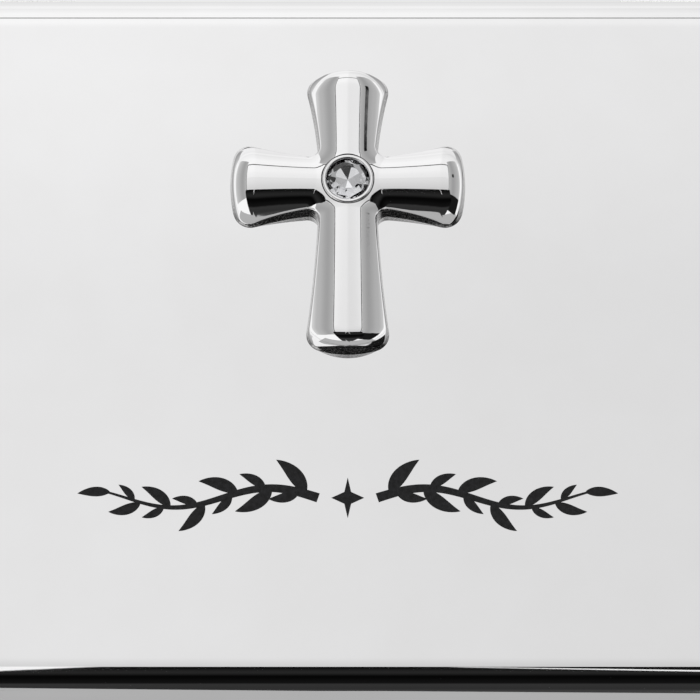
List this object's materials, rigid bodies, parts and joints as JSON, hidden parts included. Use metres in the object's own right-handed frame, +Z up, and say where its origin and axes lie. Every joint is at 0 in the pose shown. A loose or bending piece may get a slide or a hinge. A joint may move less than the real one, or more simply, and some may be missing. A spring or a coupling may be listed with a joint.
{
  "type": "keepsake box",
  "caption": "Hinged rectangular keepsake box in mirror-polished silver plate, with rounded edges, a velvet lining, and a cast cross set with a clear round stone on its lid.",
  "frame": {"origin": "centre of the box's plan on the surface that it stands on, at the underside of the felt", "axes": "+X to the box's right along its width, -Y towards the front, +Z up through the lid"},
  "size_m": [0.09, 0.071, 0.0429],
  "materials": {
    "silver_plate": "mirror-polished silver plate",
    "pin_steel": "drawn wire and spring sheet",
    "velvet": "short pile velvet, black",
    "felt": "pressed wool felt, black",
    "card": "grey lining board",
    "crystal": "clear faceted crystal glass",
    "black_enamel": "black fill of the engraved ornament on the lid"
  },
  "bodies": {
    "body": {"body_shell": "silver_plate", "base_felt": "felt", "wall_card": "card", "wall_velvet": "velvet", "floor_card": "card", "floor_velvet": "velvet", "body_hinge_bearer": "silver_plate", "body_knuckle_left": "silver_plate", "body_knuckle_middle": "silver_plate", "body_knuckle_right": "silver_plate", "hinge_pin": "pin_steel"},
    "lid": {"lid_shell": "silver_plate", "lid_hinge_bearer": "silver_plate", "lid_knuckle_left": "silver_plate", "lid_knuckle_right": "silver_plate", "lid_card": "card", "lid_velvet": "velvet", "cross_ornament": "silver_plate", "stud_clips": "pin_steel", "stone_setting": "silver_plate", "crystal": "crystal"}
  },
  "joints": [
    {"name": "lid_hinge", "type": "hinge", "parent": "body", "child": "lid", "pos_m": [0, 0.03575, 0.02805], "axis": [-1, 0, 0], "range_deg": [0, 100]}
  ]
}
